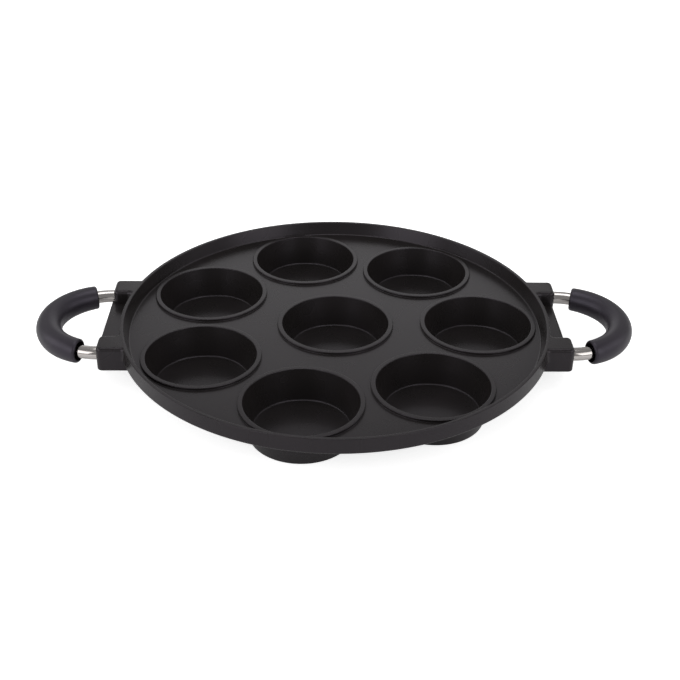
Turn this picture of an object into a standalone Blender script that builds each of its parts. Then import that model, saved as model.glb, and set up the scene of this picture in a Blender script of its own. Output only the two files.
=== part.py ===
"""Round egg pan with eight cups and two side handles.

Units are metres and +Z is up. The cups stand on Z = 0, the pan's axis is the Z axis, and
the handles lie along X. The pan is one aluminium casting: a shallow tray with a raised rim,
one cup in the middle and a ring of cups round it, and a pair of lugs with a web on each
side. A handle is a steel rod bent to a half circle. Its two legs sit in the blind bores of
the lugs, a countersunk screw from below holds each leg, and a moulded sleeve covers the bend.
"""
import math

import bmesh
import bpy
from mathutils import Matrix, Vector

MM = 0.001

# Cups
RING_CUPS = 7
CUP_MOUTH_RADIUS = 33.1 * MM
CUP_DEPTH = 18.9 * MM
CUP_DRAFT = math.radians(14.0)
CUP_WALL = 2.3 * MM
CUP_BOTTOM = 2.7 * MM
CUP_FOOT_FILLET = 2.2 * MM
CUP_BASE_ROUND = 1.2 * MM
CUP_ROOT_FILLET = 2.0 * MM
LIP_WIDTH = 2.4 * MM
LIP_HEIGHT = 1.1 * MM
CUP_SPACING = 6.2 * MM

# Tray
TRAY_DEPTH = 7.6 * MM
TRAY_THICKNESS = 2.8 * MM
CUP_TO_WALL = 2.8 * MM
WALL_FOOT = 4.7 * MM
RIM_WALL = 2.1 * MM
RIM_ROUND = 0.4 * MM
FLOOR_FILLET = 1.8 * MM
WALL_HEIGHT = 8.8 * MM
WALL_FLARE = 1.1 * MM
WALL_EDGE_ROUND = 1.2 * MM
UNDER_INSET = 1.6 * MM

# Lugs and the web between them
LEG_SPACING = 69.6 * MM
LUG_REACH = 9.9 * MM
LUG_WIDTH = 16.6 * MM
LUG_DROP = 0.05 * MM
LUG_HEIGHT = 15.6 * MM
LUG_CORNER = 3.0 * MM
LUG_TOP_ROUND = 2.5 * MM
LUG_FOOT_ROUND = 0.9 * MM
LUG_FILLET = 3.0 * MM
LUG_DRAFT = math.radians(1.0)
FILLET_FOOT = 1.0 * MM
WEB_DROP = 9.0 * MM
WEB_THICKNESS = 4.0 * MM
WEB_RECESS = 0.7 * MM
WEB_CORNER = 2.5 * MM
WEB_TOP_ROUND = 2.0 * MM
WEB_FOOT_ROUND = 0.8 * MM

# Handle rod
ROD_RADIUS = 4.0 * MM
ROD_SEAT = 11.7 * MM
ROD_STRAIGHT = 0.4 * MM
ROD_CHAMFER = 0.6 * MM

# Grip sleeve
ROD_BARE = 11.5 * MM
GRIP_RADIUS = 7.95 * MM
GRIP_END_RADIUS = 7.4 * MM
GRIP_END_ROUND = 0.7 * MM
MOUTH_WALL = 1.2 * MM
MOUTH_DEPTH = 8.0 * MM
MOUTH_TAPER = 2.0 * MM

# Retaining screw, M4 countersunk
SCREW_RADIUS = 2.0 * MM
SCREW_HEAD_RADIUS = 3.7 * MM
SCREW_HEAD_EDGE = 0.3 * MM
SCREW_BITE = 4.5 * MM
RECESS_WIDTH = 0.9 * MM
RECESS_SPAN = 4.0 * MM
RECESS_DEPTH = 1.4 * MM

# Gap left between two pieces that touch
CLEARANCE = 0.3 * MM

# Facets
TRAY_SEGMENTS = 96
CUP_SEGMENTS = 30
ARC_STEPS = 2
BEND_STEPS = 20
FILLET_STEPS = 3
WEB_STEPS = 8
GRIP_SEGMENTS = 16
ROD_SEGMENTS = 12
SCREW_SEGMENTS = 12

# Heights worked out from the sizes above
CUP_FLOOR_Z = CUP_BOTTOM
LIP_Z = CUP_FLOOR_Z + CUP_DEPTH
TRAY_FLOOR_Z = LIP_Z - LIP_HEIGHT
TRAY_UNDER_Z = TRAY_FLOOR_Z - TRAY_THICKNESS
RIM_Z = TRAY_FLOOR_Z + TRAY_DEPTH
WALL_EDGE_Z = RIM_Z - WALL_HEIGHT
LUG_TOP_Z = RIM_Z - LUG_DROP
LUG_FOOT_Z = RIM_Z - LUG_HEIGHT
ROD_Z = (RIM_Z + LUG_FOOT_Z) / 2
WEB_TOP_Z = RIM_Z - WEB_DROP

# Radii and distances from the pan's axis
LIP_RADIUS = CUP_MOUTH_RADIUS + LIP_WIDTH
LIP_ROUND = LIP_WIDTH / 2
CUP_PITCH = 2 * LIP_RADIUS + CUP_SPACING
RING_RADIUS = max(CUP_PITCH, CUP_PITCH / (2 * math.sin(math.pi / RING_CUPS)))
WALL_FOOT_RADIUS = RING_RADIUS + LIP_RADIUS + CUP_TO_WALL
UNDER_RADIUS = WALL_FOOT_RADIUS + UNDER_INSET
RIM_RADIUS = WALL_FOOT_RADIUS + WALL_FOOT
WALL_EDGE_RADIUS = RIM_RADIUS + WALL_FLARE
LUG_END_X = RIM_RADIUS + LUG_REACH
LEG_Y = LEG_SPACING / 2
BEND_RADIUS = LEG_Y
BEND_X = LUG_END_X + ROD_STRAIGHT
LEG_END_X = LUG_END_X - ROD_SEAT
BORE_RADIUS = ROD_RADIUS + CLEARANCE
SCREW_X = LUG_END_X - ROD_SEAT / 2
GRIP_START = (ROD_BARE - ROD_STRAIGHT) / BEND_RADIUS

# How far a tool reaches past a face that it cuts or joins
OVERRUN = 2.0 * MM
SINK = 0.05 * MM


def rounded(corners, steps=ARC_STEPS):
    """Points of a 2-D outline whose corners (x, y, radius) are rounded by arcs."""
    points = []
    for index, (x, y, radius) in enumerate(corners):
        corner = Vector((x, y))
        if radius == 0.0:
            points.append(corner)
            continue
        before = Vector(corners[index - 1][:2]) - corner
        after = Vector(corners[(index + 1) % len(corners)][:2]) - corner
        before.normalize()
        after.normalize()
        half = before.angle(after) / 2
        reach = radius / math.tan(half)
        centre = corner + (before + after).normalized() * (radius / math.sin(half))
        start = corner + before * reach - centre
        turn = start.angle_signed(corner + after * reach - centre)
        for step in range(steps + 1):
            points.append(centre + Matrix.Rotation(-turn * step / steps, 2) @ start)
    return points


def new_object(name, mesh):
    """Object of that name in the scene, holding the mesh."""
    item = bpy.data.objects.new(name, mesh)
    bpy.context.scene.collection.objects.link(item)
    return item


def mesh_from(bm, name):
    """Mesh made from a bmesh whose faces are turned outwards."""
    bmesh.ops.recalc_face_normals(bm, faces=bm.faces)
    mesh = bpy.data.meshes.new(name)
    bm.to_mesh(mesh)
    bm.free()
    return mesh


def turned(name, profile, segments, place=(0.0, 0.0)):
    """Solid of revolution about a vertical axis, from a profile of (radius, height) points
    that starts and ends on the axis."""
    bm = bmesh.new()
    line = [bm.verts.new((radius, 0.0, height)) for radius, height in profile]
    edges = [bm.edges.new(pair) for pair in zip(line, line[1:])]
    bmesh.ops.spin(bm, geom=line + edges, cent=(0, 0, 0), axis=(0, 0, 1), angle=2 * math.pi,
                   steps=segments, use_merge=True)
    bmesh.ops.remove_doubles(bm, verts=bm.verts, dist=1e-6)
    bmesh.ops.translate(bm, verts=bm.verts, vec=(place[0], place[1], 0.0))
    return new_object(name, mesh_from(bm, name))


def drafted(name, foot, top, foot_z, top_z, foot_round, top_round):
    """Upright block between two outlines of as many points, its end edges rounded."""
    bm = bmesh.new()
    low = [bm.verts.new((x, y, foot_z)) for x, y in foot]
    high = [bm.verts.new((x, y, top_z)) for x, y in top]
    foot_face = bm.faces.new(low)
    top_face = bm.faces.new(high)
    rims = [edge for face in (foot_face, top_face) for edge in face.edges]
    bmesh.ops.bridge_loops(bm, edges=rims)
    for face, radius in ((foot_face, foot_round), (top_face, top_round)):
        bmesh.ops.bevel(bm, geom=list(face.edges), offset=radius, segments=ARC_STEPS,
                        profile=0.5, affect="EDGES", material=-1)
    bmesh.ops.remove_doubles(bm, verts=bm.verts, dist=1e-6)
    return new_object(name, mesh_from(bm, name))


def loft(name, sections):
    """Solid through level sections, from the lowest up, each a height and an outline of as
    many points."""
    bm = bmesh.new()
    loops = []
    for height, outline in sections:
        ring = [bm.verts.new((x, y, height)) for x, y in outline]
        loops.append([bm.edges.new(pair) for pair in zip(ring, ring[1:] + ring[:1])])
    for loop in (loops[0], loops[-1]):
        bmesh.ops.edgeloop_fill(bm, edges=loop)
    for low, high in zip(loops, loops[1:]):
        bmesh.ops.bridge_loops(bm, edges=low + high)
    bmesh.ops.remove_doubles(bm, verts=bm.verts, dist=1e-6)
    return new_object(name, mesh_from(bm, name))


def tube(name, stations, segments):
    """Round tube with closed ends through stations, each a point and a radius."""
    curve = bpy.data.curves.new(name, "CURVE")
    curve.dimensions = "3D"
    curve.twist_mode = "Z_UP"
    curve.bevel_depth = 1.0
    curve.bevel_resolution = segments // 2 - 2
    curve.use_fill_caps = True
    spline = curve.splines.new("POLY")
    spline.points.add(len(stations) - 1)
    for point, (place, radius) in zip(spline.points, stations):
        point.co = (*place, 1.0)
        point.radius = radius
    guide = new_object(name + "_path", curve)
    bpy.context.view_layer.update()
    shape = guide.evaluated_get(bpy.context.evaluated_depsgraph_get())
    mesh = bpy.data.meshes.new_from_object(shape)
    mesh.name = name
    bpy.data.objects.remove(guide)
    bpy.data.curves.remove(curve)
    return new_object(name, mesh)


def combine(item, operation, tools):
    """Joins the tools to the object or cuts them out of it, and removes the tools."""
    group = bpy.data.collections.new("tools")
    bpy.context.scene.collection.children.link(group)
    for tool in tools:
        group.objects.link(tool)
    change = item.modifiers.new(operation.lower(), "BOOLEAN")
    change.operation = operation
    change.operand_type = "COLLECTION"
    change.collection = group
    change.solver = "EXACT"
    bpy.context.view_layer.update()
    shape = item.evaluated_get(bpy.context.evaluated_depsgraph_get())
    result = bpy.data.meshes.new_from_object(shape)
    result.name = item.name
    item.modifiers.clear()
    item.data = result
    for tool in tools:
        bpy.data.objects.remove(tool)
    bpy.data.collections.remove(group)


def material(name, colour, roughness, metallic):
    """Principled material of one colour, given in linear light."""
    finish = bpy.data.materials.new(name)
    finish.use_nodes = True
    shader = finish.node_tree.nodes["Principled BSDF"]
    shader.inputs["Base Color"].default_value = (*colour, 1.0)
    shader.inputs["Roughness"].default_value = roughness
    shader.inputs["Metallic"].default_value = metallic
    return finish


def finished(item, finish):
    """Closes the seams that cutting leaves, and gives the object its material and smooth
    shading with crisp edges."""
    bm = bmesh.new()
    bm.from_mesh(item.data)
    bmesh.ops.remove_doubles(bm, verts=bm.verts, dist=1e-6)
    bm.to_mesh(item.data)
    bm.free()
    item.data.materials.clear()
    item.data.materials.append(finish)
    item.data.shade_smooth()
    item.data.set_sharp_from_angle(angle=math.radians(35.0))


def cup_centres():
    """Centres of the cups: the middle one, then the ring, with one cup on the +X axis."""
    yield 0.0, 0.0
    for index in range(RING_CUPS):
        angle = 2 * math.pi * index / RING_CUPS
        yield RING_RADIUS * math.cos(angle), RING_RADIUS * math.sin(angle)


def cup_radius(height):
    """Inner radius of a cup at a height, along its drafted wall."""
    return CUP_MOUTH_RADIUS - (LIP_Z - height) * math.tan(CUP_DRAFT)


def cup_profile():
    """Section of a cup's shell: floor, wall and lip, then down its outside to its base.
    The outside flares into the tray, where a collar inside the plate joins the two."""
    wall = CUP_WALL / math.cos(CUP_DRAFT)
    under = TRAY_UNDER_Z + SINK
    root = cup_radius(under) + wall
    collar = root + CUP_ROOT_FILLET + SINK
    middle = TRAY_FLOOR_Z - TRAY_THICKNESS / 2
    return rounded([
        (0.0, CUP_FLOOR_Z, 0.0),
        (cup_radius(CUP_FLOOR_Z), CUP_FLOOR_Z, CUP_FOOT_FILLET),
        (CUP_MOUTH_RADIUS, LIP_Z, LIP_ROUND),
        (LIP_RADIUS, LIP_Z, LIP_ROUND),
        (LIP_RADIUS, middle, 0.0),
        (collar, middle, 0.0),
        (collar, under, 0.0),
        (root, under, CUP_ROOT_FILLET),
        (cup_radius(0.0) + wall, 0.0, CUP_BASE_ROUND),
        (0.0, 0.0, 0.0),
    ])


def tray_blank():
    """The tray as a full disc, before its inside is cut out. Its wall leans out to a rounded
    lower edge, from which the underside slopes down to the flat plate."""
    profile = rounded([
        (0.0, TRAY_UNDER_Z, 0.0),
        (UNDER_RADIUS, TRAY_UNDER_Z, 0.0),
        (WALL_EDGE_RADIUS, WALL_EDGE_Z, WALL_EDGE_ROUND),
        (RIM_RADIUS, RIM_Z, RIM_ROUND),
        (0.0, RIM_Z, 0.0),
    ])
    return turned("pan_body", profile, TRAY_SEGMENTS)


def tray_inside():
    """Cutter for the tray's inside: flat floor, fillet, leaning wall and the rim's edge."""
    lean = (WALL_FOOT - RIM_WALL) / TRAY_DEPTH
    edge = RIM_RADIUS - RIM_WALL
    profile = rounded([
        (0.0, TRAY_FLOOR_Z, 0.0),
        (WALL_FOOT_RADIUS, TRAY_FLOOR_Z, FLOOR_FILLET),
        (edge - lean * RIM_ROUND, RIM_Z - RIM_ROUND, 0.0),
        (edge + RIM_ROUND, RIM_Z + SINK, 0.0),
        (edge + RIM_ROUND, RIM_Z + OVERRUN, 0.0),
        (0.0, RIM_Z + OVERRUN, 0.0),
    ])
    return turned("tray_inside", profile, TRAY_SEGMENTS)


def cup_hole(place):
    """Cutter that opens the tray's plate where a cup goes, hidden inside the cup's wall."""
    radius = (CUP_MOUTH_RADIUS + LIP_RADIUS) / 2
    low = TRAY_UNDER_Z - OVERRUN
    high = TRAY_FLOOR_Z + OVERRUN
    profile = [(0.0, low), (radius, low), (radius, high), (0.0, high)]
    return turned("cup_hole", profile, CUP_SEGMENTS, place)


def lug_outline(height, inset, flared):
    """Plan at a height of the lug on the +X, +Y side, drawn in by inset, from under the tray
    to the lug's end. Its drafted sides are straight or, where it is flared, run on to the
    tray's leaning wall by fillets."""
    fall = RIM_Z - height
    wall_radius = RIM_RADIUS + min(fall / WALL_HEIGHT, 1.0) * WALL_FLARE - SINK
    shrink = inset + fall * math.tan(LUG_DRAFT)
    end = LUG_END_X - inset
    points = []
    for side in (-1, 1):
        face_y = LEG_Y + side * (LUG_WIDTH / 2 - shrink)
        radius = LUG_FILLET + shrink
        centre_y = face_y + side * radius
        centre = Vector((math.sqrt((wall_radius + LUG_FILLET) ** 2 - centre_y ** 2), centre_y))
        touch = -centre.normalized() * radius
        flat = Vector((0.0, -side * radius))
        turn = touch.angle_signed(flat) / FILLET_STEPS
        half = [centre.normalized() * WALL_FOOT_RADIUS]
        half += [centre + Matrix.Rotation(-turn * step, 2) @ touch
                 for step in range(FILLET_STEPS + 1)]
        if not flared:
            half = [Vector((point.x, face_y)) for point in half]
        corner = max(LUG_CORNER - inset, SINK)
        half += rounded([(centre.x, face_y, 0.0), (end, face_y, corner),
                         (end, LEG_Y, 0.0)])[1:-1]
        points += half if side < 0 else half[::-1]
    return points


def lug(side_x, side_y):
    """One lug, flush with the rim, with the rod's bore and the screw's hole left for later
    cuts. Below the tray's wall its sides are plain, and beside the wall they flare on to it."""
    place = Matrix.Diagonal((side_x, side_y))
    edge = WALL_EDGE_Z + WALL_EDGE_ROUND / 2
    quarters = [math.pi / 2 * step / ARC_STEPS for step in range(ARC_STEPS + 1)]
    levels = [(LUG_FOOT_Z + LUG_FOOT_ROUND * (1 - math.cos(quarter)),
               LUG_FOOT_ROUND * (1 - math.sin(quarter)), False) for quarter in quarters]
    levels += [(edge - FILLET_FOOT, 0.0, False), (edge, 0.0, True)]
    levels += [(LUG_TOP_Z - LUG_TOP_ROUND * (1 - math.sin(quarter)),
                LUG_TOP_ROUND * (1 - math.cos(quarter)), True) for quarter in quarters]
    return loft("lug", [(height, [place @ point for point in lug_outline(height, inset, flared)])
                        for height, inset, flared in levels])


def web(side_x):
    """Plate between two lugs, from under the tray's edge to a little short of the lugs' ends,
    with its rounded corners inside the lugs."""
    half = LEG_Y - LUG_WIDTH / 2 + LUG_CORNER + WEB_CORNER
    end = LUG_END_X - WEB_RECESS
    sweep = math.asin(half / WALL_FOOT_RADIUS)
    angles = [sweep * (1 - 2 * step / WEB_STEPS) for step in range(WEB_STEPS + 1)]
    inner = [(WALL_FOOT_RADIUS * math.cos(angle), WALL_FOOT_RADIUS * math.sin(angle), 0.0)
             for angle in angles]
    plan = rounded([(end, -half, WEB_CORNER), (end, half, WEB_CORNER)] + inner)
    plan = [(side_x * x, y) for x, y in plan]
    foot_z = WEB_TOP_Z - WEB_THICKNESS
    return drafted("web", plan, plan, foot_z, WEB_TOP_Z, WEB_FOOT_ROUND, WEB_TOP_ROUND)


def rod_bore(side_x, side_y):
    """Cutter for the blind bore that takes one leg of the handle's rod."""
    depth = LEG_END_X - CLEARANCE
    stations = [(Vector((side_x * x, side_y * LEG_Y, ROD_Z)), BORE_RADIUS)
                for x in (depth, LUG_END_X + OVERRUN)]
    return tube("rod_bore", stations, ROD_SEGMENTS)


def screw_profile(gap):
    """Section of the countersunk screw from its head's flat face up, grown by gap."""
    cone = SCREW_HEAD_RADIUS - SCREW_RADIUS
    base = LUG_FOOT_Z + CLEARANCE - (OVERRUN if gap else 0.0)
    edge = LUG_FOOT_Z + CLEARANCE + SCREW_HEAD_EDGE
    tip = ROD_Z - ROD_RADIUS + SCREW_BITE
    return [
        (0.0, base),
        (SCREW_HEAD_RADIUS + gap, base),
        (SCREW_HEAD_RADIUS + gap, edge),
        (SCREW_RADIUS + gap, edge + cone),
        (SCREW_RADIUS + gap, tip + gap),
        (0.0, tip + gap),
    ]


def screw_hole(side_x, side_y):
    """Cutter for one screw's countersink and hole, with clearance."""
    place = (side_x * SCREW_X, side_y * LEG_Y)
    return turned("screw_hole", screw_profile(CLEARANCE), SCREW_SEGMENTS, place)


def pan_body():
    """The casting: tray, lugs and webs, then its hollows, then the cups."""
    sides = [(side_x, side_y) for side_x in (1, -1) for side_y in (1, -1)]
    body = tray_blank()
    combine(body, "UNION", [lug(*side) for side in sides] + [web(1), web(-1)])
    cuts = [tray_inside()] + [cup_hole(place) for place in cup_centres()]
    cuts += [rod_bore(*side) for side in sides] + [screw_hole(*side) for side in sides]
    combine(body, "DIFFERENCE", cuts)
    profile = cup_profile()
    combine(body, "UNION", [turned("cup", profile, CUP_SEGMENTS, place)
                            for place in cup_centres()])
    return body


def bend_point(angle):
    """Point on the rod's axis along its bend: 0 at the rear leg, pi at the front leg."""
    return Vector((BEND_X + BEND_RADIUS * math.sin(angle), BEND_RADIUS * math.cos(angle), ROD_Z))


def handle_rod():
    """Steel rod of the right handle: two legs with chamfered ends and a half-circle bend,
    with a blind hole in each leg for its screw."""
    legs = []
    for side in (1, -1):
        leg = [(Vector((LEG_END_X, side * LEG_Y, ROD_Z)), ROD_RADIUS - ROD_CHAMFER),
               (Vector((LEG_END_X + ROD_CHAMFER, side * LEG_Y, ROD_Z)), ROD_RADIUS)]
        legs.append(leg)
    bend = [(bend_point(math.pi * step / BEND_STEPS), ROD_RADIUS)
            for step in range(BEND_STEPS + 1)]
    rod = tube("handle_rod_right", legs[0] + bend + legs[1][::-1], ROD_SEGMENTS)
    combine(rod, "DIFFERENCE", [screw_hole(1, 1), screw_hole(1, -1)])
    return rod


def grip_radius(angle):
    """Outer radius of the sleeve along the bend: fullest in the middle, slimmer at its ends."""
    reach = (angle - math.pi / 2) / (math.pi / 2 - GRIP_START)
    return GRIP_RADIUS - (GRIP_RADIUS - GRIP_END_RADIUS) * reach ** 2


def grip():
    """Sleeve of the right handle. Its bore follows the rod, and opens to a wide mouth at
    each end."""
    first = GRIP_START
    last = math.pi - GRIP_START
    inner = [math.pi * step / BEND_STEPS for step in range(BEND_STEPS + 1)]

    def mirrored(half):
        return half + [(math.pi - angle, radius) for angle, radius in reversed(half)]

    edge = GRIP_END_ROUND / BEND_RADIUS
    start = [(first + edge * (1 - math.cos(quarter)),
              grip_radius(first) - GRIP_END_ROUND * (1 - math.sin(quarter)))
             for quarter in (0.0, math.pi / 4, math.pi / 2)]
    middle = [(angle, grip_radius(angle)) for angle in inner
              if first + 2 * edge < angle < last - 2 * edge]
    shell = start + middle + mirrored(start)[len(start):]
    outside = [(bend_point(angle), radius) for angle, radius in shell]

    mouth = GRIP_END_RADIUS - MOUTH_WALL
    deep = first + MOUTH_DEPTH / BEND_RADIUS
    narrow = deep + MOUTH_TAPER / BEND_RADIUS
    entry = [(first - OVERRUN / BEND_RADIUS, mouth), (first, mouth), (deep, mouth),
             (narrow, BORE_RADIUS)]
    middle = [(angle, BORE_RADIUS) for angle in inner if narrow < angle < math.pi - narrow]
    hollow = entry + middle + mirrored(entry)[len(entry):]
    inside = [(bend_point(angle), radius) for angle, radius in hollow]

    sleeve = tube("grip_right", outside, GRIP_SEGMENTS)
    combine(sleeve, "DIFFERENCE", [tube("grip_bore", inside, ROD_SEGMENTS)])
    return sleeve


def screw():
    """Countersunk screw at the right handle's rear leg, with a cross recess in its head."""
    item = turned("screw_right_rear", screw_profile(0.0), SCREW_SEGMENTS,
                  (SCREW_X, LEG_Y))
    recess_z = LUG_FOOT_Z + CLEARANCE
    slots = []
    for size in ((RECESS_SPAN, RECESS_WIDTH), (RECESS_WIDTH, RECESS_SPAN)):
        bm = bmesh.new()
        bmesh.ops.create_cube(bm, size=1.0)
        bmesh.ops.scale(bm, verts=bm.verts, vec=(size[0], size[1], 2 * RECESS_DEPTH))
        bmesh.ops.translate(bm, verts=bm.verts, vec=(SCREW_X, LEG_Y, recess_z))
        slots.append(new_object("slot", mesh_from(bm, "slot")))
    combine(item, "DIFFERENCE", slots)
    return item


def copy_of(item, name, place):
    """Copy of an object that shares its mesh, placed by a matrix."""
    twin = bpy.data.objects.new(name, item.data)
    bpy.context.scene.collection.objects.link(twin)
    twin.matrix_world = place
    return twin


def build():
    """Models every piece of the pan."""
    for item in list(bpy.data.objects):
        bpy.data.objects.remove(item)

    coated = material("nonstick_coated_cast_aluminium", (0.035, 0.033, 0.036), 0.45, 0.0)
    steel = material("brushed_stainless_steel", (0.56, 0.54, 0.53), 0.3, 1.0)
    rubber = material("moulded_black_grip", (0.022, 0.021, 0.023), 0.55, 0.0)
    plated = material("zinc_plated_screw_steel", (0.5, 0.5, 0.52), 0.35, 1.0)

    finished(pan_body(), coated)

    half_turn = Matrix.Rotation(math.pi, 4, "Z")
    rod = handle_rod()
    finished(rod, steel)
    copy_of(rod, "handle_rod_left", half_turn)

    sleeve = grip()
    finished(sleeve, rubber)
    copy_of(sleeve, "grip_left", half_turn)

    fixing = screw()
    finished(fixing, plated)
    across = Matrix.Translation((0.0, -2 * LEG_Y, 0.0))
    copy_of(fixing, "screw_right_front", across)
    copy_of(fixing, "screw_left_front", half_turn)
    copy_of(fixing, "screw_left_rear", half_turn @ across)


build()
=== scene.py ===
import math

import bmesh
import bpy
from mathutils import Matrix, Vector


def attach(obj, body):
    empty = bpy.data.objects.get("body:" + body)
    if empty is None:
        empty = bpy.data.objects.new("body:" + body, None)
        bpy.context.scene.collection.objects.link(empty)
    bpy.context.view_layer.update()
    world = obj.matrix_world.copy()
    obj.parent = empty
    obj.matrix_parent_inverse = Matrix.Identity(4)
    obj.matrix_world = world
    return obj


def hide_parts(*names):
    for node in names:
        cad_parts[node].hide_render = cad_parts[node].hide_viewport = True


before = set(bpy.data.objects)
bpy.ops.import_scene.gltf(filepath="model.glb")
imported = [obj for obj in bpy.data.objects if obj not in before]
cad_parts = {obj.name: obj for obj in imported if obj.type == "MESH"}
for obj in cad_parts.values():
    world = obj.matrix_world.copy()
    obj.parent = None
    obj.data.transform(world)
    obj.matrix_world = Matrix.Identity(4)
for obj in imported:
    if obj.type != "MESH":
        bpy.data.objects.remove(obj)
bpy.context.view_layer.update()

# The finished surfaces of a round egg pan. A black non-stick coating covers the one cast
# piece: tray, rim, eight cups, lugs and webs. Each handle is a bright bent rod with a matt
# sleeve, and a small plated screw holds each of its legs from below.

MM = 0.001

# Cups
RING_CUPS = 7
CUP_MOUTH_RADIUS = 33.1 * MM
CUP_DEPTH = 18.9 * MM
CUP_DRAFT = math.radians(14.0)
CUP_WALL = 2.3 * MM
CUP_BOTTOM = 2.7 * MM
CUP_FOOT_FILLET = 0.9 * MM
CUP_BASE_ROUND = 1.2 * MM
CUP_ROOT_FILLET = 2.0 * MM
LIP_WIDTH = 2.9 * MM
LIP_HEIGHT = 1.6 * MM
LIP_ROUND = 0.5 * MM
LIP_FOOT_FILLET = 0.3 * MM
CUP_SPACING = 5.2 * MM

# Tray
TRAY_DEPTH = 8.1 * MM
TRAY_THICKNESS = 2.3 * MM
CUP_TO_WALL = 2.3 * MM
WALL_FOOT = 4.7 * MM
RIM_WALL = 2.1 * MM
RIM_ROUND = 0.4 * MM
FLOOR_FILLET = 0.9 * MM
WALL_HEIGHT = 8.8 * MM
WALL_FLARE = 1.1 * MM
WALL_EDGE_ROUND = 1.2 * MM
UNDER_INSET = 1.6 * MM
UNDER_ROUND = 3.0 * MM

# Lugs and webs
LEG_SPACING = 69.6 * MM
LUG_REACH = 9.9 * MM
LUG_WIDTH = 16.6 * MM
LUG_DROP = 0.05 * MM
LUG_HEIGHT = 15.6 * MM
LUG_CORNER = 3.0 * MM
LUG_TOP_ROUND = 2.5 * MM
LUG_FOOT_ROUND = 0.9 * MM
LUG_FILLET = 3.0 * MM
LUG_DRAFT = math.radians(1.0)
FILLET_FOOT = 1.0 * MM
WEB_DROP = 9.0 * MM
WEB_THICKNESS = 4.0 * MM
WEB_RECESS = 0.7 * MM
WEB_CORNER = 2.5 * MM
WEB_TOP_ROUND = 2.0 * MM
WEB_FOOT_ROUND = 0.8 * MM

# Handle rods, grips and screws
ROD_RADIUS = 4.0 * MM
ROD_SEAT = 11.7 * MM
ROD_STRAIGHT = 0.4 * MM
ROD_CHAMFER = 0.6 * MM
ROD_BARE = 11.5 * MM
GRIP_RADIUS = 7.95 * MM
GRIP_END_RADIUS = 7.4 * MM
GRIP_END_ROUND = 1.5 * MM
MOUTH_WALL = 1.4 * MM
MOUTH_DEPTH = 8.0 * MM
MOUTH_TAPER = 2.0 * MM
SCREW_RADIUS = 2.0 * MM
SCREW_HEAD_RADIUS = 3.7 * MM
SCREW_HEAD_EDGE = 0.3 * MM
SCREW_BITE = 4.5 * MM
CLEARANCE = 0.3 * MM

# Heights and radii worked out from these sizes
CUP_FLOOR_Z = CUP_BOTTOM
LIP_Z = CUP_FLOOR_Z + CUP_DEPTH
TRAY_FLOOR_Z = LIP_Z - LIP_HEIGHT
TRAY_UNDER_Z = TRAY_FLOOR_Z - TRAY_THICKNESS
RIM_Z = TRAY_FLOOR_Z + TRAY_DEPTH
WALL_EDGE_Z = RIM_Z - WALL_HEIGHT
LUG_TOP_Z = RIM_Z - LUG_DROP
LUG_FOOT_Z = RIM_Z - LUG_HEIGHT
ROD_Z = (RIM_Z + LUG_FOOT_Z) / 2
WEB_TOP_Z = RIM_Z - WEB_DROP
LIP_RADIUS = CUP_MOUTH_RADIUS + LIP_WIDTH
CUP_PITCH = 2 * LIP_RADIUS + CUP_SPACING
RING_RADIUS = CUP_PITCH / (2 * math.sin(math.pi / RING_CUPS))
WALL_FOOT_RADIUS = RING_RADIUS + LIP_RADIUS + CUP_TO_WALL
UNDER_RADIUS = WALL_FOOT_RADIUS + UNDER_INSET
RIM_RADIUS = WALL_FOOT_RADIUS + WALL_FOOT
WALL_EDGE_RADIUS = RIM_RADIUS + WALL_FLARE
LUG_END_X = RIM_RADIUS + LUG_REACH
LEG_Y = LEG_SPACING / 2
BEND_RADIUS = LEG_Y
BEND_X = LUG_END_X + ROD_STRAIGHT
LEG_END_X = LUG_END_X - ROD_SEAT
BORE_RADIUS = ROD_RADIUS + CLEARANCE
SCREW_X = LUG_END_X - ROD_SEAT / 2
GRIP_START = (ROD_BARE - ROD_STRAIGHT) / BEND_RADIUS

# Fineness of the round forms
TRAY_SEGMENTS = 240
CUP_SEGMENTS = 96
ARC_STEPS = 5
BEND_STEPS = 90
TUBE_SEGMENTS = 32
BORE_SEGMENTS = 20
WEB_STEPS = 16
SCREW_SEGMENTS = 32
SHARP_ANGLE = math.radians(32.0)
MERGE_DISTANCE = 1e-6

# How far a tool reaches past a face that it cuts, and how deep one sinks where it joins
OVERRUN = 2.0 * MM
SINK = 0.05 * MM


def rounded(corners, steps=ARC_STEPS):
    """Points of a 2-D outline whose corners (x, y, radius) are rounded by arcs."""
    points = []
    for index, (x, y, radius) in enumerate(corners):
        corner = Vector((x, y))
        if radius == 0.0:
            points.append(corner)
            continue
        before = (Vector(corners[index - 1][:2]) - corner).normalized()
        after = (Vector(corners[(index + 1) % len(corners)][:2]) - corner).normalized()
        half = before.angle(after) / 2
        centre = corner + (before + after).normalized() * (radius / math.sin(half))
        start = corner + before * (radius / math.tan(half)) - centre
        end = corner + after * (radius / math.tan(half)) - centre
        turn = start.angle_signed(end)
        for step in range(steps + 1):
            points.append(centre + Matrix.Rotation(-turn * step / steps, 2) @ start)
    return points


def new_object(name, mesh):
    """Object of that name in the scene, holding the mesh."""
    item = bpy.data.objects.new(name, mesh)
    bpy.context.scene.collection.objects.link(item)
    return item


def mesh_from(bm, name):
    """Mesh made from a bmesh whose faces are turned outwards."""
    bmesh.ops.recalc_face_normals(bm, faces=bm.faces)
    mesh = bpy.data.meshes.new(name)
    bm.to_mesh(mesh)
    bm.free()
    return mesh


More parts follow.
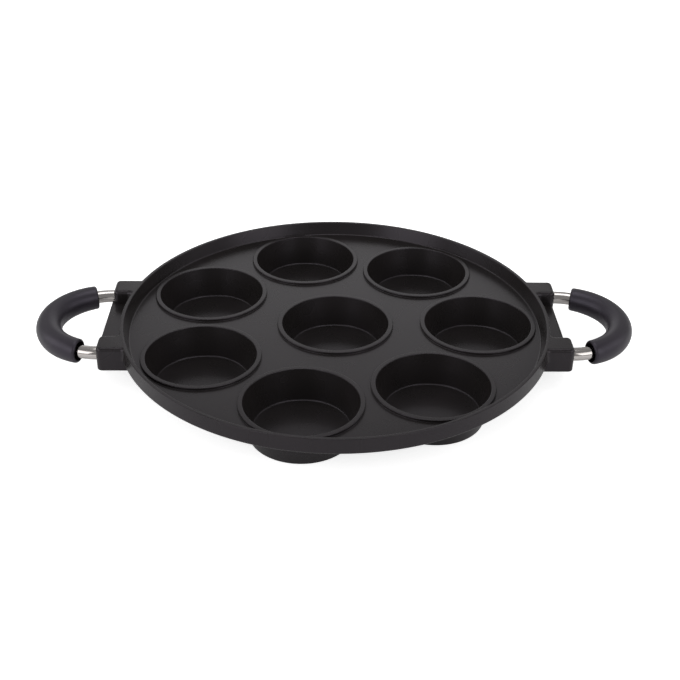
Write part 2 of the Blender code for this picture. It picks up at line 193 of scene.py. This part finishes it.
def turned(name, profile, segments, place=(0.0, 0.0)):
    """Solid of revolution from a profile of (radius, height) points that ends on the axis."""
    bm = bmesh.new()
    line = [bm.verts.new((radius, 0.0, height)) for radius, height in profile]
    edges = [bm.edges.new(pair) for pair in zip(line, line[1:])]
    bmesh.ops.spin(bm, geom=line + edges, cent=(0, 0, 0), axis=(0, 0, 1), angle=2 * math.pi,
                   steps=segments, use_merge=True)
    bmesh.ops.remove_doubles(bm, verts=bm.verts, dist=MERGE_DISTANCE)
    bmesh.ops.translate(bm, verts=bm.verts, vec=(place[0], place[1], 0.0))
    return new_object(name, mesh_from(bm, name))


def drafted(name, foot, top, foot_z, top_z, foot_round, top_round):
    """Upright block between two outlines of as many points, its end edges rounded."""
    bm = bmesh.new()
    low = [bm.verts.new((x, y, foot_z)) for x, y in foot]
    high = [bm.verts.new((x, y, top_z)) for x, y in top]
    foot_face = bm.faces.new(low)
    top_face = bm.faces.new(high)
    rims = [edge for face in (foot_face, top_face) for edge in face.edges]
    bmesh.ops.bridge_loops(bm, edges=rims)
    for face, radius in ((foot_face, foot_round), (top_face, top_round)):
        bmesh.ops.bevel(bm, geom=list(face.edges), offset=radius, segments=ARC_STEPS,
                        profile=0.5, affect="EDGES", material=-1)
    bmesh.ops.remove_doubles(bm, verts=bm.verts, dist=MERGE_DISTANCE)
    return new_object(name, mesh_from(bm, name))


def loft(name, sections):
    """Solid through level sections, from the lowest up, each a height and an outline of as
    many points."""
    bm = bmesh.new()
    loops = []
    for height, outline in sections:
        ring = [bm.verts.new((x, y, height)) for x, y in outline]
        loops.append([bm.edges.new(pair) for pair in zip(ring, ring[1:] + ring[:1])])
    for loop in (loops[0], loops[-1]):
        bmesh.ops.edgeloop_fill(bm, edges=loop)
    for low, high in zip(loops, loops[1:]):
        bmesh.ops.bridge_loops(bm, edges=low + high)
    bmesh.ops.remove_doubles(bm, verts=bm.verts, dist=MERGE_DISTANCE)
    return new_object(name, mesh_from(bm, name))


def tube(name, stations, segments=TUBE_SEGMENTS):
    """Round tube with closed ends through stations, each a point and a radius."""
    curve = bpy.data.curves.new(name, "CURVE")
    curve.dimensions = "3D"
    curve.twist_mode = "Z_UP"
    curve.bevel_depth = 1.0
    curve.bevel_resolution = segments // 2 - 2
    curve.use_fill_caps = True
    spline = curve.splines.new("POLY")
    spline.points.add(len(stations) - 1)
    for point, (place, radius) in zip(spline.points, stations):
        point.co = (*place, 1.0)
        point.radius = radius
    guide = new_object(name + "_path", curve)
    bpy.context.view_layer.update()
    shape = guide.evaluated_get(bpy.context.evaluated_depsgraph_get())
    mesh = bpy.data.meshes.new_from_object(shape)
    mesh.name = name
    bpy.data.objects.remove(guide)
    bpy.data.curves.remove(curve)
    return new_object(name, mesh)


def combine(item, operation, tools):
    """Joins the tools to the object or cuts them out of it, and removes the tools."""
    group = bpy.data.collections.new("tools")
    bpy.context.scene.collection.children.link(group)
    for tool in tools:
        group.objects.link(tool)
    change = item.modifiers.new(operation.lower(), "BOOLEAN")
    change.operation = operation
    change.operand_type = "COLLECTION"
    change.collection = group
    change.solver = "EXACT"
    bpy.context.view_layer.update()
    shape = item.evaluated_get(bpy.context.evaluated_depsgraph_get())
    result = bpy.data.meshes.new_from_object(shape)
    result.name = item.name
    item.modifiers.clear()
    item.data = result
    for tool in tools:
        bpy.data.objects.remove(tool)
    bpy.data.collections.remove(group)


def cup_centres():
    """Centres of the cups: the middle one, then the ring, with one cup on the +X axis."""
    yield 0.0, 0.0
    for index in range(RING_CUPS):
        angle = 2 * math.pi * index / RING_CUPS
        yield RING_RADIUS * math.cos(angle), RING_RADIUS * math.sin(angle)


def cup_radius(height):
    """Inner radius of a cup at a height, along its drafted wall."""
    return CUP_MOUTH_RADIUS - (LIP_Z - height) * math.tan(CUP_DRAFT)


def cup_profile():
    """Section of a cup's shell: floor, wall and lip, then a collar inside the tray's plate,
    and down its outside to its base."""
    wall = CUP_WALL / math.cos(CUP_DRAFT)
    under = TRAY_UNDER_Z + SINK
    root = cup_radius(under) + wall
    collar = root + CUP_ROOT_FILLET + SINK
    middle = TRAY_FLOOR_Z - TRAY_THICKNESS / 2
    skirt = LIP_RADIUS + LIP_FOOT_FILLET + SINK
    return rounded([
        (0.0, CUP_FLOOR_Z, 0.0),
        (cup_radius(CUP_FLOOR_Z), CUP_FLOOR_Z, CUP_FOOT_FILLET),
        (CUP_MOUTH_RADIUS, LIP_Z, LIP_ROUND),
        (LIP_RADIUS, LIP_Z, LIP_ROUND),
        (LIP_RADIUS, TRAY_FLOOR_Z - SINK / 2, LIP_FOOT_FILLET),
        (skirt, TRAY_FLOOR_Z - SINK / 2, 0.0),
        (skirt, middle, 0.0),
        (collar, middle, 0.0),
        (collar, under, 0.0),
        (root, under, CUP_ROOT_FILLET),
        (cup_radius(0.0) + wall, 0.0, CUP_BASE_ROUND),
        (0.0, 0.0, 0.0),
    ])


def tray_blank():
    """The tray as a full disc, before its inside is cut out. Its wall leans out to a rounded
    lower edge, from which the underside slopes down to the flat plate."""
    profile = rounded([
        (0.0, TRAY_UNDER_Z, 0.0),
        (UNDER_RADIUS, TRAY_UNDER_Z, UNDER_ROUND),
        (WALL_EDGE_RADIUS, WALL_EDGE_Z, WALL_EDGE_ROUND),
        (RIM_RADIUS, RIM_Z, RIM_ROUND),
        (0.0, RIM_Z, 0.0),
    ])
    return turned("pan_casting", profile, TRAY_SEGMENTS)


def tray_inside():
    """Cutter for the tray's inside: flat floor, fillet, leaning wall and the rim's edge."""
    lean = (WALL_FOOT - RIM_WALL) / TRAY_DEPTH
    edge = RIM_RADIUS - RIM_WALL
    profile = rounded([
        (0.0, TRAY_FLOOR_Z, 0.0),
        (WALL_FOOT_RADIUS, TRAY_FLOOR_Z, FLOOR_FILLET),
        (edge - lean * RIM_ROUND, RIM_Z - RIM_ROUND, 0.0),
        (edge + RIM_ROUND / 4, RIM_Z - RIM_ROUND / 4, 0.0),
        (edge + RIM_ROUND, RIM_Z + SINK, 0.0),
        (edge + RIM_ROUND, RIM_Z + OVERRUN, 0.0),
        (0.0, RIM_Z + OVERRUN, 0.0),
    ])
    return turned("tray_inside", profile, TRAY_SEGMENTS)


def cup_hole(place):
    """Cutter that opens the tray's plate where a cup goes, hidden inside the cup's wall."""
    radius = (CUP_MOUTH_RADIUS + LIP_RADIUS) / 2
    low = TRAY_UNDER_Z - OVERRUN
    high = TRAY_FLOOR_Z + OVERRUN
    profile = [(0.0, low), (radius, low), (radius, high), (0.0, high)]
    return turned("cup_hole", profile, CUP_SEGMENTS, place)


def lug_outline(height, inset, flared):
    """Plan at a height of the lug on the +X, +Y side, drawn in by inset, from under the tray
    to the lug's end. Its drafted sides are straight or, where it is flared, run on to the
    tray's leaning wall by fillets."""
    fall = RIM_Z - height
    wall_radius = RIM_RADIUS + min(fall / WALL_HEIGHT, 1.0) * WALL_FLARE - SINK
    shrink = inset + fall * math.tan(LUG_DRAFT)
    end = LUG_END_X - inset
    points = []
    for side in (-1, 1):
        face_y = LEG_Y + side * (LUG_WIDTH / 2 - shrink)
        radius = LUG_FILLET + shrink
        centre_y = face_y + side * radius
        centre = Vector((math.sqrt((wall_radius + LUG_FILLET) ** 2 - centre_y ** 2), centre_y))
        touch = -centre.normalized() * radius
        turn = touch.angle_signed(Vector((0.0, -side * radius))) / ARC_STEPS
        half = [centre.normalized() * WALL_FOOT_RADIUS]
        half += [centre + Matrix.Rotation(-turn * step, 2) @ touch
                 for step in range(ARC_STEPS + 1)]
        if not flared:
            half = [Vector((point.x, face_y)) for point in half]
        half += rounded([(centre.x, face_y, 0.0), (end, face_y, LUG_CORNER - inset),
                         (end, LEG_Y, 0.0)])[1:-1]
        points += half if side < 0 else half[::-1]
    return points


def lug(side_x, side_y):
    """One lug, flush with the rim. Below the tray's wall its sides are plain, and beside the
    wall they flare on to it."""
    place = Matrix.Diagonal((side_x, side_y))
    edge = WALL_EDGE_Z + WALL_EDGE_ROUND / 2
    quarters = [math.pi / 2 * step / ARC_STEPS for step in range(ARC_STEPS + 1)]
    levels = [(LUG_FOOT_Z + LUG_FOOT_ROUND * (1 - math.cos(quarter)),
               LUG_FOOT_ROUND * (1 - math.sin(quarter)), False) for quarter in quarters]
    levels += [(edge - FILLET_FOOT, 0.0, False), (edge, 0.0, True)]
    levels += [(LUG_TOP_Z - LUG_TOP_ROUND * (1 - math.sin(quarter)),
                LUG_TOP_ROUND * (1 - math.cos(quarter)), True) for quarter in quarters]
    return loft("lug", [(height, [place @ point for point in lug_outline(height, inset, flared)])
                        for height, inset, flared in levels])


def web(side_x):
    """Plate between two lugs, a little short of their ends, its rounded corners inside them."""
    half = LEG_Y - LUG_WIDTH / 2 + LUG_CORNER + WEB_CORNER
    end = LUG_END_X - WEB_RECESS
    sweep = math.asin(half / WALL_FOOT_RADIUS)
    angles = [sweep * (1 - 2 * step / WEB_STEPS) for step in range(WEB_STEPS + 1)]
    inner = [(WALL_FOOT_RADIUS * math.cos(angle), WALL_FOOT_RADIUS * math.sin(angle), 0.0)
             for angle in angles]
    plan = rounded([(end, -half, WEB_CORNER), (end, half, WEB_CORNER)] + inner)
    plan = [(side_x * x, y) for x, y in plan]
    foot_z = WEB_TOP_Z - WEB_THICKNESS
    return drafted("web", plan, plan, foot_z, WEB_TOP_Z, WEB_FOOT_ROUND, WEB_TOP_ROUND)


def rod_bore(side_x, side_y):
    """Cutter for the blind bore that takes one leg of the handle's rod."""
    stations = [(Vector((side_x * x, side_y * LEG_Y, ROD_Z)), BORE_RADIUS)
                for x in (LEG_END_X - CLEARANCE, LUG_END_X + OVERRUN)]
    return tube("rod_bore", stations, BORE_SEGMENTS)


def screw_profile(gap):
    """Section of the countersunk screw from its head's flat face up, grown by gap."""
    cone = SCREW_HEAD_RADIUS - SCREW_RADIUS
    base = LUG_FOOT_Z + CLEARANCE - (OVERRUN if gap else 0.0)
    edge = LUG_FOOT_Z + CLEARANCE + SCREW_HEAD_EDGE
    tip = ROD_Z - ROD_RADIUS + SCREW_BITE
    return [
        (0.0, base),
        (SCREW_HEAD_RADIUS + gap, base),
        (SCREW_HEAD_RADIUS + gap, edge),
        (SCREW_RADIUS + gap, edge + cone),
        (SCREW_RADIUS + gap, tip + gap),
        (0.0, tip + gap),
    ]


def screw_hole(side_x, side_y):
    """Cutter for one screw's countersink and hole."""
    place = (side_x * SCREW_X, side_y * LEG_Y)
    return turned("screw_hole", screw_profile(CLEARANCE), SCREW_SEGMENTS, place)


def pan_casting():
    """The casting: tray, lugs and webs, then its hollows, then the cups."""
    sides = [(side_x, side_y) for side_x in (1, -1) for side_y in (1, -1)]
    body = tray_blank()
    combine(body, "UNION", [lug(*side) for side in sides] + [web(1), web(-1)])
    cuts = [tray_inside()] + [cup_hole(place) for place in cup_centres()]
    cuts += [rod_bore(*side) for side in sides] + [screw_hole(*side) for side in sides]
    combine(body, "DIFFERENCE", cuts)
    profile = cup_profile()
    combine(body, "UNION", [turned("cup", profile, CUP_SEGMENTS, place)
                            for place in cup_centres()])
    return body


def bend_point(angle):
    """Point on the rod's axis along its bend: 0 at the rear leg, pi at the front leg."""
    return Vector((BEND_X + BEND_RADIUS * math.sin(angle), BEND_RADIUS * math.cos(angle), ROD_Z))


def handle_rod():
    """Bent steel rod of the right handle."""
    legs = []
    for side in (1, -1):
        legs.append([(Vector((LEG_END_X, side * LEG_Y, ROD_Z)), ROD_RADIUS - ROD_CHAMFER),
                     (Vector((LEG_END_X + ROD_CHAMFER, side * LEG_Y, ROD_Z)), ROD_RADIUS)])
    bend = [(bend_point(math.pi * step / BEND_STEPS), ROD_RADIUS)
            for step in range(BEND_STEPS + 1)]
    return tube("steel_rod", legs[0] + bend + legs[1][::-1])


def grip_radius(angle):
    """Outer radius of the sleeve along the bend: fullest in the middle."""
    reach = (angle - math.pi / 2) / (math.pi / 2 - GRIP_START)
    return GRIP_RADIUS - (GRIP_RADIUS - GRIP_END_RADIUS) * reach ** 2


def both_ends(half):
    """Stations of one half of the bend and their mirror images."""
    return half + [(math.pi - angle, radius) for angle, radius in reversed(half)]


def grip():
    """Sleeve of the right handle, with its bore and wide mouths."""
    first = GRIP_START
    edge = GRIP_END_ROUND / BEND_RADIUS
    stations = [math.pi * step / BEND_STEPS for step in range(BEND_STEPS // 2 + 1)]
    quarters = [math.pi / 2 * step / ARC_STEPS for step in range(ARC_STEPS + 1)]
    half = [(first + edge * (1 - math.cos(quarter)),
             grip_radius(first) - GRIP_END_ROUND * (1 - math.sin(quarter)))
            for quarter in quarters]
    half += [(angle, grip_radius(angle)) for angle in stations
             if first + 2 * edge < angle < math.pi / 2]
    outside = [(bend_point(angle), radius) for angle, radius in both_ends(half)]

    mouth = GRIP_END_RADIUS - MOUTH_WALL
    deep = first + MOUTH_DEPTH / BEND_RADIUS
    narrow = deep + MOUTH_TAPER / BEND_RADIUS
    half = [(first - OVERRUN / BEND_RADIUS, mouth), (first, mouth), (deep, mouth),
            (narrow, BORE_RADIUS)]
    half += [(angle, BORE_RADIUS) for angle in stations if narrow < angle < math.pi / 2]
    inside = [(bend_point(angle), radius) for angle, radius in both_ends(half)]

    sleeve = tube("grip_sleeve", outside)
    combine(sleeve, "DIFFERENCE", [tube("grip_bore", inside, BORE_SEGMENTS)])
    return sleeve


def srgb(code):
    """Linear colour of an sRGB hex value such as #2b292c."""
    parts = [int(code[start:start + 2], 16) / 255 for start in (1, 3, 5)]
    line = [part / 12.92 if part <= 0.04045 else ((part + 0.055) / 1.055) ** 2.4
            for part in parts]
    return (*line, 1.0)


def add(tree, kind, inputs=None, **settings):
    """Adds a node, with its settings and its inputs, each a value or a socket to link."""
    item = tree.nodes.new(kind)
    for name, value in settings.items():
        setattr(item, name, value)
    for key, value in (inputs or {}).items():
        if isinstance(value, bpy.types.NodeSocket):
            tree.links.new(value, item.inputs[key])
        else:
            item.inputs[key].default_value = value
    return item


def blank(name):
    """New material, its node tree and its Principled shader."""
    finish = bpy.data.materials.new(name)
    finish.use_nodes = True
    return finish, finish.node_tree, finish.node_tree.nodes["Principled BSDF"]


def noise(tree, place, size, detail=2.0):
    """Noise whose patches are about the given size."""
    return add(tree, "ShaderNodeTexNoise", {"Vector": place, "Scale": 1 / size,
                                            "Detail": detail}).outputs["Fac"]


def colour_from(tree, shader, factor, spread, codes):
    """Base colour that turns from one hex colour to another over a factor's spread."""
    item = add(tree, "ShaderNodeValToRGB", {"Fac": factor})
    for element, place, code in zip(item.color_ramp.elements, spread, codes):
        element.position = place
        element.color = srgb(code)
    tree.links.new(item.outputs["Color"], shader.inputs["Base Color"])


def roughness_from(tree, shader, factor, low, high):
    """Roughness that follows a factor between two values."""
    item = add(tree, "ShaderNodeMapRange", {"Value": factor, "To Min": low, "To Max": high})
    tree.links.new(item.outputs["Result"], shader.inputs["Roughness"])


def bump_from(tree, shader, factor, strength, depth):
    """Bump of the given strength and depth that follows a factor."""
    item = add(tree, "ShaderNodeBump", {"Height": factor, "Strength": strength,
                                        "Distance": depth})
    tree.links.new(item.outputs["Normal"], shader.inputs["Normal"])


# Sizes of the patterns in the finishes, and where a cloud's factor turns over
COATING_CLOUD = 25.0 * MM
ORANGE_PEEL = 1.2 * MM
SLEEVE_CLOUD = 15.0 * MM
SLEEVE_GRAIN = 0.6 * MM
TEXTURE_DEPTH = 0.02 * MM
POLISH_STREAK = 0.35 * MM
ZINC_CLOUD = 1.5 * MM
CLOUD_SPREAD = (0.3, 0.7)
STREAK_SPREAD = (0.35, 0.65)


def nonstick_coating():
    """Sprayed and baked PTFE over cast aluminium: a near-black, satin skin with the slight
    orange peel of a sprayed coat and a faint cloudiness. PTFE mirrors less than other
    plastics, and what it mirrors looks faintly violet."""
    finish, tree, shader = blank("nonstick_coating")
    place = add(tree, "ShaderNodeTexCoord").outputs["Object"]
    cloud = noise(tree, place, COATING_CLOUD)
    peel = noise(tree, place, ORANGE_PEEL, 3.0)
    colour_from(tree, shader, cloud, CLOUD_SPREAD, ("#1b1918", "#1f1c1c"))
    roughness_from(tree, shader, cloud, 0.25, 0.3)
    bump_from(tree, shader, peel, 0.12, TEXTURE_DEPTH)
    shader.inputs["IOR"].default_value = 1.38
    shader.inputs["Specular Tint"].default_value = srgb("#faf0ff")
    return finish


def along_rod(tree):
    """Coordinates that stay the same along a rod's legs and round its bend: the distance
    from the line between the legs, or from the bend's centre, and the height."""
    place = add(tree, "ShaderNodeTexCoord").outputs["Object"]
    axes = add(tree, "ShaderNodeSeparateXYZ", {0: place})
    out = add(tree, "ShaderNodeMath", {0: axes.outputs["X"]}, operation="ABSOLUTE")
    past = add(tree, "ShaderNodeMath", {0: out.outputs[0], 1: BEND_X}, operation="SUBTRACT")
    beyond = add(tree, "ShaderNodeMath", {0: past.outputs[0], 1: 0.0}, operation="MAXIMUM")
    level = add(tree, "ShaderNodeCombineXYZ", {"X": beyond.outputs[0], "Y": axes.outputs["Y"]})
    reach = add(tree, "ShaderNodeVectorMath", {0: level.outputs["Vector"]}, operation="LENGTH")
    across = add(tree, "ShaderNodeCombineXYZ", {"X": reach.outputs["Value"],
                                                "Y": axes.outputs["Z"]})
    return across.outputs["Vector"]


def drawn_stainless():
    """Drawn stainless bar, polished lengthwise: bright, with fine streaks that follow the rod
    along its legs and round its bend."""
    finish, tree, shader = blank("drawn_stainless")
    streak = noise(tree, along_rod(tree), POLISH_STREAK, 3.0)
    colour_from(tree, shader, streak, STREAK_SPREAD, ("#a39d9a", "#cfcbc9"))
    roughness_from(tree, shader, streak, 0.09, 0.15)
    shader.inputs["Metallic"].default_value = 1.0
    return finish


def moulded_sleeve():
    """Heat-resistant moulded sleeve with a fine matt texture: black, with broad dull
    highlights of a faint violet."""
    finish, tree, shader = blank("moulded_sleeve")
    place = add(tree, "ShaderNodeTexCoord").outputs["Object"]
    grain = noise(tree, place, SLEEVE_GRAIN, 3.0)
    cloud = noise(tree, place, SLEEVE_CLOUD)
    colour_from(tree, shader, cloud, CLOUD_SPREAD, ("#1b181c", "#201c21"))
    roughness_from(tree, shader, grain, 0.38, 0.46)
    bump_from(tree, shader, grain, 0.2, TEXTURE_DEPTH)
    shader.inputs["Specular Tint"].default_value = srgb("#f2eaff")
    return finish


def zinc_plate():
    """Bright zinc plating on a small steel screw, slightly clouded."""
    finish, tree, shader = blank("zinc_plate")
    place = add(tree, "ShaderNodeTexCoord").outputs["Object"]
    cloud = noise(tree, place, ZINC_CLOUD)
    colour_from(tree, shader, cloud, CLOUD_SPREAD, ("#aeb2ba", "#c8ccd2"))
    roughness_from(tree, shader, cloud, 0.25, 0.4)
    shader.inputs["Metallic"].default_value = 1.0
    return finish


def dress(item, finish, node):
    """Gives a finished piece its material and shading, and puts it in its node's place."""
    bm = bmesh.new()
    bm.from_mesh(item.data)
    bmesh.ops.remove_doubles(bm, verts=bm.verts, dist=MERGE_DISTANCE)
    bm.to_mesh(item.data)
    bm.free()
    item.data.materials.clear()
    item.data.materials.append(finish)
    item.data.shade_smooth()
    item.data.set_sharp_from_angle(angle=SHARP_ANGLE)
    weigh = item.modifiers.new("even_shading", "WEIGHTED_NORMAL")
    weigh.keep_sharp = True
    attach(item, "root")
    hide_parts(node)


def turned_copy(item, name):
    """Copy of a piece turned half round the pan's axis."""
    mesh = item.data.copy()
    mesh.transform(Matrix.Rotation(math.pi, 4, "Z"))
    return new_object(name, mesh)


coating = nonstick_coating()
steel = drawn_stainless()
sleeve_finish = moulded_sleeve()
plating = zinc_plate()

dress(pan_casting(), coating, "pan_body")

rod_right = handle_rod()
rod_right.name = "steel_rod_right"
rod_left = turned_copy(rod_right, "steel_rod_left")
dress(rod_right, steel, "handle_rod_right")
dress(rod_left, steel, "handle_rod_left")

sleeve_right = grip()
sleeve_right.name = "sleeve_right"
sleeve_left = turned_copy(sleeve_right, "sleeve_left")
dress(sleeve_right, sleeve_finish, "grip_right")
dress(sleeve_left, sleeve_finish, "grip_left")

for name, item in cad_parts.items():
    if name.startswith("screw"):
        item.data.materials.clear()
        item.data.materials.append(plating)


# Camera, worked out from the rim's ellipse and the cups' mouths in the photograph
CAMERA_LENS = 60.19
SENSOR_WIDTH = 36.0
CAMERA_ELEVATION = math.radians(31.34)
CAMERA_DISTANCE = 678.5 * MM
CAMERA_ROLL = math.radians(0.799)
PAN_YAW = math.radians(1.19)
CAMERA_AIM = Vector((3.07 * MM, -32.01 * MM, RIM_Z))


def studio_camera():
    """Camera at the photograph's place, aimed at a point near the pan's middle."""
    ahead = Vector((0.0, math.cos(CAMERA_ELEVATION), -math.sin(CAMERA_ELEVATION)))
    right = Vector((1.0, 0.0, 0.0))
    up = right.cross(ahead)
    rolled_right = math.cos(CAMERA_ROLL) * right + math.sin(CAMERA_ROLL) * up
    rolled_up = math.cos(CAMERA_ROLL) * up - math.sin(CAMERA_ROLL) * right
    place = CAMERA_AIM - ahead * CAMERA_DISTANCE
    axes = Matrix((rolled_right, rolled_up, -ahead)).transposed().to_4x4()
    view = bpy.data.cameras.new("camera")
    view.lens = CAMERA_LENS
    view.sensor_width = SENSOR_WIDTH
    item = new_object("camera", view)
    turn = Matrix.Rotation(-PAN_YAW, 4, "Z")
    item.matrix_world = turn @ Matrix.Translation(place) @ axes
    bpy.context.scene.camera = item


# Light that the surroundings send, the white that the floor adds for the camera's rays and
# for the mirrored ones, and the floor's place and half its width
WORLD_LEVEL = 0.33
FLOOR_SEEN = 0.72
FLOOR_MIRRORED = 0.12
FLOOR_GAP = 0.05 * MM
FLOOR_REACH = 6.0
WHITE = (1.0, 1.0, 1.0, 1.0)

# Soft lamps round the pan: azimuth from the camera's side towards +X and elevation in
# degrees, and power in watts
LAMP_DISTANCE = 1.5
LAMP_SIZE = 0.9
LAMPS = {
    "overhead": (180, 80, 6.0),
    "left": (270, 25, 4.3),
    "right": (90, 25, 2.7),
    "front_left": (315, 25, 5.6),
    "front_right": (45, 25, 5.0),
    "back_left": (225, 35, 0.8),
    "back_right": (135, 35, 0.5),
    "back": (180, 20, 1.6),
}


def softbox(name, azimuth, elevation, power):
    """Square area lamp on a sphere round the pan, turned to the pan."""
    across = math.radians(azimuth)
    height = math.radians(elevation)
    way = Vector((math.sin(across) * math.cos(height), -math.cos(across) * math.cos(height),
                  math.sin(height)))
    lamp = bpy.data.lights.new(name, "AREA")
    lamp.size = LAMP_SIZE
    lamp.energy = power
    item = new_object(name, lamp)
    item.location = way * LAMP_DISTANCE
    item.rotation_euler = way.to_track_quat("Z", "Y").to_euler()


def studio():
    """White floor, clear when seen from below, and surroundings with soft lamps."""
    finish, tree, shader = blank("studio_floor")
    shader.inputs["Base Color"].default_value = srgb("#f2f2f2")
    shader.inputs["Roughness"].default_value = 0.9
    seen = add(tree, "ShaderNodeLightPath")
    mirrored = add(tree, "ShaderNodeMath", {0: seen.outputs["Is Glossy Ray"],
                                            1: seen.outputs["Is Transmission Ray"]},
                   operation="MAXIMUM")
    glow = add(tree, "ShaderNodeMapRange", {"Value": mirrored.outputs[0], "To Min": 0.0,
                                            "To Max": FLOOR_MIRRORED})
    level = add(tree, "ShaderNodeMapRange", {"Value": seen.outputs["Is Camera Ray"],
                                             "To Min": glow.outputs["Result"],
                                             "To Max": FLOOR_SEEN})
    shader.inputs["Emission Color"].default_value = WHITE
    tree.links.new(level.outputs["Result"], shader.inputs["Emission Strength"])
    facing = add(tree, "ShaderNodeNewGeometry")
    clear = add(tree, "ShaderNodeBsdfTransparent")
    one_sided = add(tree, "ShaderNodeMixShader", {0: facing.outputs["Backfacing"],
                                                  1: shader.outputs["BSDF"],
                                                  2: clear.outputs["BSDF"]})
    tree.links.new(one_sided.outputs["Shader"],
                   tree.nodes["Material Output"].inputs["Surface"])
    bm = bmesh.new()
    bmesh.ops.create_grid(bm, x_segments=1, y_segments=1, size=FLOOR_REACH,
                          matrix=Matrix.Translation((0.0, 0.0, -FLOOR_GAP)))
    floor = new_object("floor", mesh_from(bm, "floor"))
    floor.data.materials.append(finish)

    world = bpy.data.worlds.new("studio")
    bpy.context.scene.world = world
    world.use_nodes = True
    tree = world.node_tree
    seen = add(tree, "ShaderNodeLightPath")
    level = add(tree, "ShaderNodeMapRange", {"Value": seen.outputs["Is Camera Ray"],
                                             "To Min": WORLD_LEVEL, "To Max": 1.0})
    tree.links.new(level.outputs["Result"], tree.nodes["Background"].inputs["Strength"])
    tree.nodes["Background"].inputs["Color"].default_value = WHITE

    for name, settings in LAMPS.items():
        softbox(name, *settings)
    bpy.context.scene.view_settings.view_transform = "Standard"


studio_camera()
studio()
